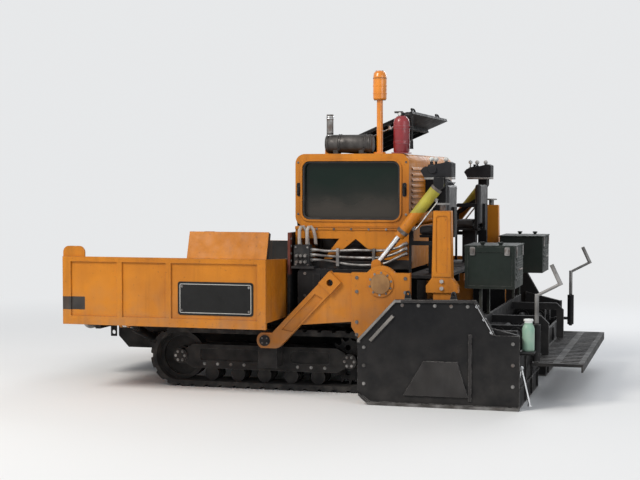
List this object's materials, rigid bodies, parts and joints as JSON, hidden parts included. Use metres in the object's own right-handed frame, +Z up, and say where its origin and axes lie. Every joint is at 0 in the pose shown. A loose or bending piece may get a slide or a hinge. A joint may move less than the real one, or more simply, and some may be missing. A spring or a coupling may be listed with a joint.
{
  "type": "tracked asphalt paver",
  "caption": "Tracked asphalt paver with folding hopper wings, slat conveyors, augers, towed heated screed with sliding extensions and end gates, and an operator deck.",
  "frame": {"origin": "on the ground, under the middle of the machine's box", "axes": "+X forward to the push rollers, +Y to the machine's left, +Z up"},
  "size_m": [4.36, 3.2, 2.6],
  "materials": {
    "orange_paint": "worn gloss machine paint",
    "black_paint": "dusty satin paint",
    "screed_paint": "asphalt stained satin paint",
    "box_paint": "dusty satin paint",
    "console_plastic": "matt",
    "worn_steel": "worn by asphalt",
    "rod_chrome": "polished",
    "track_rubber": "dusty",
    "engine_paint": "satin",
    "mesh_black": "matt mesh",
    "hose_rubber": "matt",
    "seat_vinyl": "vinyl",
    "mast_orange": "tube and lens",
    "red_paint": "gloss"
  },
  "bodies": {
    "tractor": {"main_frame": "black_paint", "conveyor_floor": "worn_steel", "slat_chains": "worn_steel", "bulkhead": "black_paint", "push_beam": "black_paint", "track_frame_left": "black_paint", "track_frame_right": "black_paint", "track_left": "track_rubber", "track_right": "track_rubber", "engine_block": "engine_paint", "bay_panels": "orange_paint", "engine_hood": "orange_paint", "hood_grilles": "mesh_black", "side_tanks": "black_paint", "hydraulic_hoses": "hose_rubber", "operator_deck": "black_paint", "console": "console_plastic", "seat_frames": "black_paint", "seat_left": "seat_vinyl", "seat_right": "seat_vinyl", "beacon_mast": "mast_orange", "extinguisher": "red_paint", "tie_down_lugs": "black_paint", "auger_support": "black_paint"},
    "hood_lid": {"hood_lid": "black_paint"},
    "screed": {"tow_arm_left": "orange_paint", "tow_arm_right": "orange_paint", "screed_body": "screed_paint", "screed_boxes": "box_paint", "depth_posts": "orange_paint", "walkway": "black_paint"},
    "push_roller_left": {"push_roller_left": "worn_steel"},
    "hopper_wing_left": {"hopper_wing_left": "orange_paint"},
    "wing_barrel_left": {"wing_barrel_left": "black_paint"},
    "wing_rod_left": {"wing_rod_left": "rod_chrome"},
    "auger_left": {"auger_left": "worn_steel", "auger_flight_left": "worn_steel"},
    "lift_barrel_left": {"lift_barrel_left": "orange_paint"},
    "lift_rod_left": {"lift_rod_left": "rod_chrome"},
    "extension_left": {"extension_left": "screed_paint"},
    "end_gate_left": {"end_gate_left": "screed_paint"},
    "push_roller_right": {"push_roller_right": "worn_steel"},
    "hopper_wing_right": {"hopper_wing_right": "orange_paint"},
    "wing_barrel_right": {"wing_barrel_right": "black_paint"},
    "wing_rod_right": {"wing_rod_right": "rod_chrome"},
    "auger_right": {"auger_right": "worn_steel", "auger_flight_right": "worn_steel"},
    "lift_barrel_right": {"lift_barrel_right": "orange_paint"},
    "lift_rod_right": {"lift_rod_right": "rod_chrome"},
    "extension_right": {"extension_right": "screed_paint"},
    "end_gate_right": {"end_gate_right": "screed_paint"}
  },
  "joints": [
    {"name": "push_roller_left_spin", "type": "hinge", "parent": "tractor", "child": "push_roller_left", "pos_m": [2.105, 0.45, 0.495], "axis": [0, 1, 0], "continuous": true},
    {"name": "auger_left_spin", "type": "hinge", "parent": "tractor", "child": "auger_left", "pos_m": [-0.74, 0.6, 0.33], "axis": [0, 1, 0], "continuous": true},
    {"name": "hopper_wing_left_fold", "type": "hinge", "parent": "tractor", "child": "hopper_wing_left", "pos_m": [1, 0.5, 0.6], "axis": [1, 0, 0], "range_deg": [0, 48]},
    {"name": "wing_barrel_left_swing", "type": "hinge", "parent": "tractor", "child": "wing_barrel_left", "pos_m": [1.6, 0.53, 0.33], "axis": [1, 0, 0], "range_deg": [-1, 40.38]},
    {"name": "wing_rod_left_stroke", "type": "slide", "parent": "wing_barrel_left", "child": "wing_rod_left", "axis": [0, 0.9561, 0.293], "range_m": [-0.002, 0.1932]},
    {"name": "push_roller_right_spin", "type": "hinge", "parent": "tractor", "child": "push_roller_right", "pos_m": [2.105, -0.45, 0.495], "axis": [0, 1, 0], "continuous": true},
    {"name": "auger_right_spin", "type": "hinge", "parent": "tractor", "child": "auger_right", "pos_m": [-0.74, -0.6, 0.33], "axis": [0, 1, 0], "continuous": true},
    {"name": "hopper_wing_right_fold", "type": "hinge", "parent": "tractor", "child": "hopper_wing_right", "pos_m": [1, -0.5, 0.6], "axis": [-1, 0, 0], "range_deg": [0, 48]},
    {"name": "wing_barrel_right_swing", "type": "hinge", "parent": "tractor", "child": "wing_barrel_right", "pos_m": [1.6, -0.53, 0.33], "axis": [-1, 0, 0], "range_deg": [-1, 40.38]},
    {"name": "wing_rod_right_stroke", "type": "slide", "parent": "wing_barrel_right", "child": "wing_rod_right", "axis": [0, -0.9561, 0.293], "range_m": [-0.002, 0.1932]},
    {"name": "screed_lift", "type": "hinge", "parent": "tractor", "child": "screed", "pos_m": [0.33, 0, 0.43], "axis": [0, 1, 0], "range_deg": [0, 8]},
    {"name": "hood_lid_open", "type": "hinge", "parent": "tractor", "child": "hood_lid", "pos_m": [-0.04, 0, 1.955], "axis": [0, 1, 0], "range_deg": [-22.5, 35]},
    {"name": "lift_barrel_left_swing", "type": "hinge", "parent": "tractor", "child": "lift_barrel_left", "pos_m": [-1.06, 1.135, 1.68], "axis": [0, -1, 0], "range_deg": [-1, 11.84]},
    {"name": "lift_rod_left_stroke", "type": "slide", "parent": "lift_barrel_left", "child": "lift_rod_left", "axis": [-0.6217, 0, 0.7833], "range_m": [-0.002, 0.0213]},
    {"name": "extension_left_slide", "type": "slide", "parent": "screed", "child": "extension_left", "axis": [0, 1, 0], "range_m": [-0.225, 0.45]},
    {"name": "end_gate_left_lift", "type": "slide", "parent": "extension_left", "child": "end_gate_left", "axis": [0, 0, 1], "range_m": [0, 0.15]},
    {"name": "lift_barrel_right_swing", "type": "hinge", "parent": "tractor", "child": "lift_barrel_right", "pos_m": [-1.06, -1.135, 1.68], "axis": [0, -1, 0], "range_deg": [-1, 11.84]},
    {"name": "lift_rod_right_stroke", "type": "slide", "parent": "lift_barrel_right", "child": "lift_rod_right", "axis": [-0.6217, 0, 0.7833], "range_m": [-0.002, 0.0213]},
    {"name": "extension_right_slide", "type": "slide", "parent": "screed", "child": "extension_right", "axis": [0, -1, 0], "range_m": [-0.225, 0.45]},
    {"name": "end_gate_right_lift", "type": "slide", "parent": "extension_right", "child": "end_gate_right", "axis": [0, 0, 1], "range_m": [0, 0.15]}
  ],
  "couplings": [
    {"joint": "wing_barrel_left_swing", "follows": "hopper_wing_left_fold", "ratio": 0.82048},
    {"joint": "wing_rod_left_stroke", "follows": "hopper_wing_left_fold", "m_per_rad": 0.22819},
    {"joint": "wing_barrel_right_swing", "follows": "hopper_wing_right_fold", "ratio": 0.82048},
    {"joint": "wing_rod_right_stroke", "follows": "hopper_wing_right_fold", "m_per_rad": 0.22819},
    {"joint": "lift_barrel_left_swing", "follows": "screed_lift", "ratio": 1.3548},
    {"joint": "lift_rod_left_stroke", "follows": "screed_lift", "m_per_rad": 0.13797},
    {"joint": "lift_barrel_right_swing", "follows": "screed_lift", "ratio": 1.3548},
    {"joint": "lift_rod_right_stroke", "follows": "screed_lift", "m_per_rad": 0.13797}
  ]
}
